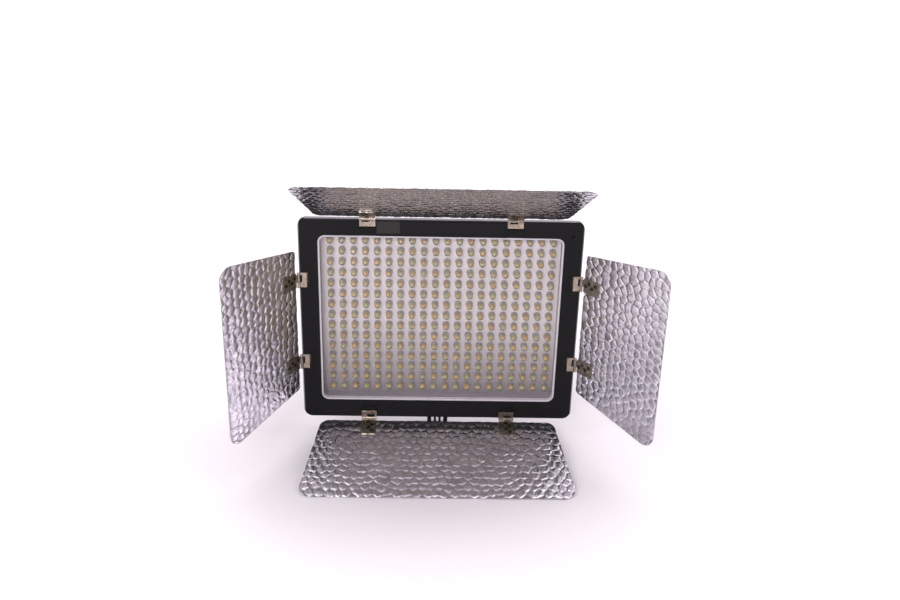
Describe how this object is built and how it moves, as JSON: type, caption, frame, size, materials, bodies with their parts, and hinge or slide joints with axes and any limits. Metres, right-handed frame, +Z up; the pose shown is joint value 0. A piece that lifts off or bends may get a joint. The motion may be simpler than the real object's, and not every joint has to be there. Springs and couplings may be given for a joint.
{
  "type": "led panel light",
  "caption": "Rectangular LED panel light with four pebbled barn doors on spring hinges, a finger pivot mount below, and a battery plate, dimmer knob and display behind.",
  "frame": {"origin": "centre of the pivot bore through the fingers under the panel", "axes": "-Y the way the light shines, +X to the right seen from the front, +Z up"},
  "size_m": [0.3162, 0.126, 0.2406],
  "materials": {
    "frame_plastic": "fine satin moulding",
    "housing_plastic": "fine spark-eroded texture",
    "pivot_plastic": "satin moulding",
    "plate_plastic": "satin moulding",
    "gloss_black": "polished",
    "receiver_tint": "polished, smoke tinted",
    "rim_white": "satin",
    "frosted_sheet": "lightly frosted",
    "reflector_white": "matt white",
    "board_white": "white solder mask",
    "warm_lens": "clear epoxy over amber phosphor",
    "cool_lens": "clear epoxy over yellow phosphor",
    "circuit_green": "solder mask",
    "component_black": "moulded",
    "ferrite": "pressed ferrite",
    "capacitor_sleeve": "shrink sleeve",
    "dark_screw": "black zinc",
    "plain_screw": "zinc plated",
    "display_black": "polished",
    "button_grey": "satin",
    "encoder_metal": "plain",
    "knob_plastic": "satin, knurled",
    "switch_plastic": "satin",
    "rocker_plastic": "polished",
    "socket_plastic": "satin",
    "contact_gold": "gold flashed",
    "lead_red": "insulation",
    "latch_plastic": "satin",
    "clip_nickel": "nickel plated spring steel",
    "pin_steel": "plain",
    "leaf_nickel": "nickel plated, brushed",
    "eyelet_dark": "oxidised",
    "pebbled_aluminium": "pebble-embossed, bright"
  },
  "bodies": {
    "panel": {"front_bezel": "frame_plastic", "name_strip": "gloss_black", "receiver_window": "receiver_tint", "diffuser_frame": "rim_white", "diffuser_sheet": "frosted_sheet", "reflector_box": "reflector_white", "lamp_board": "board_white", "warm_lamps": "warm_lens", "cool_lamps": "cool_lens", "rear_housing": "housing_plastic", "case_screws": "dark_screw", "driver_board": "circuit_green", "driver_chips": "component_black", "coils": "ferrite", "capacitors": "capacitor_sleeve", "control_board": "circuit_green", "tact_switches": "component_black", "board_screws": "plain_screw", "display_module": "component_black", "display_window": "display_black", "encoder_body": "encoder_metal", "encoder_nut": "encoder_metal", "switch_frame": "switch_plastic", "dc_socket": "socket_plastic", "battery_plate": "plate_plastic", "battery_plate_screws": "plain_screw", "battery_contacts": "contact_gold", "battery_leads": "lead_red", "pivot_block": "pivot_plastic", "pivot_block_screws": "plain_screw", "top_clips": "clip_nickel", "right_clips": "clip_nickel", "bottom_clips": "clip_nickel", "left_clips": "clip_nickel", "top_pins": "pin_steel", "right_pins": "pin_steel", "bottom_pins": "pin_steel", "left_pins": "pin_steel"},
    "top_door": {"top_leaves": "leaf_nickel", "top_eyelets": "eyelet_dark", "top_door": "pebbled_aluminium"},
    "right_door": {"right_leaves": "leaf_nickel", "right_eyelets": "eyelet_dark", "right_door": "pebbled_aluminium"},
    "bottom_door": {"bottom_leaves": "leaf_nickel", "bottom_eyelets": "eyelet_dark", "bottom_door": "pebbled_aluminium"},
    "left_door": {"left_leaves": "leaf_nickel", "left_eyelets": "eyelet_dark", "left_door": "pebbled_aluminium"},
    "dimmer": {"encoder_shaft": "encoder_metal", "dimmer_knob": "knob_plastic"},
    "rocker": {"power_rocker": "rocker_plastic"},
    "latch": {"battery_latch": "latch_plastic"},
    "mode_button": {"mode_button": "button_grey"},
    "colour_button": {"colour_button": "button_grey"},
    "channel_button": {"channel_button": "button_grey"},
    "group_button": {"group_button": "button_grey"}
  },
  "joints": [
    {"name": "top_door_hinge", "type": "hinge", "parent": "panel", "child": "top_door", "pos_m": [0, -0.0269, 0.18514], "axis": [-1, 0, 0], "range_deg": [-114.5, 56.5]},
    {"name": "right_door_hinge", "type": "hinge", "parent": "panel", "child": "right_door", "pos_m": [0.1082, -0.0269, 0.09944], "axis": [0, 0, 1], "range_deg": [-128, 52]},
    {"name": "bottom_door_hinge", "type": "hinge", "parent": "panel", "child": "bottom_door", "pos_m": [0, -0.0269, 0.01374], "axis": [1, 0, 0], "range_deg": [-94, 77]},
    {"name": "left_door_hinge", "type": "hinge", "parent": "panel", "child": "left_door", "pos_m": [-0.1082, -0.0269, 0.09944], "axis": [0, 0, -1], "range_deg": [-122, 58]},
    {"name": "dimmer_turn", "type": "hinge", "parent": "panel", "child": "dimmer", "pos_m": [-0.062, 0.008, 0.11344], "axis": [0, 1, 0], "continuous": true},
    {"name": "rocker_flip", "type": "hinge", "parent": "panel", "child": "rocker", "pos_m": [-0.062, 0.003, 0.06544], "axis": [-1, 0, 0], "range_deg": [0, 16]},
    {"name": "latch_press", "type": "slide", "parent": "panel", "child": "latch", "axis": [0, -1, 0], "range_m": [0, 0.0028], "stiffness_N_per_m": 500},
    {"name": "mode_press", "type": "slide", "parent": "panel", "child": "mode_button", "axis": [0, -1, 0], "range_m": [0, 0.0006], "stiffness_N_per_m": 800},
    {"name": "colour_press", "type": "slide", "parent": "panel", "child": "colour_button", "axis": [0, -1, 0], "range_m": [0, 0.0006], "stiffness_N_per_m": 800},
    {"name": "channel_press", "type": "slide", "parent": "panel", "child": "channel_button", "axis": [0, -1, 0], "range_m": [0, 0.0006], "stiffness_N_per_m": 800},
    {"name": "group_press", "type": "slide", "parent": "panel", "child": "group_button", "axis": [0, -1, 0], "range_m": [0, 0.0006], "stiffness_N_per_m": 800}
  ]
}
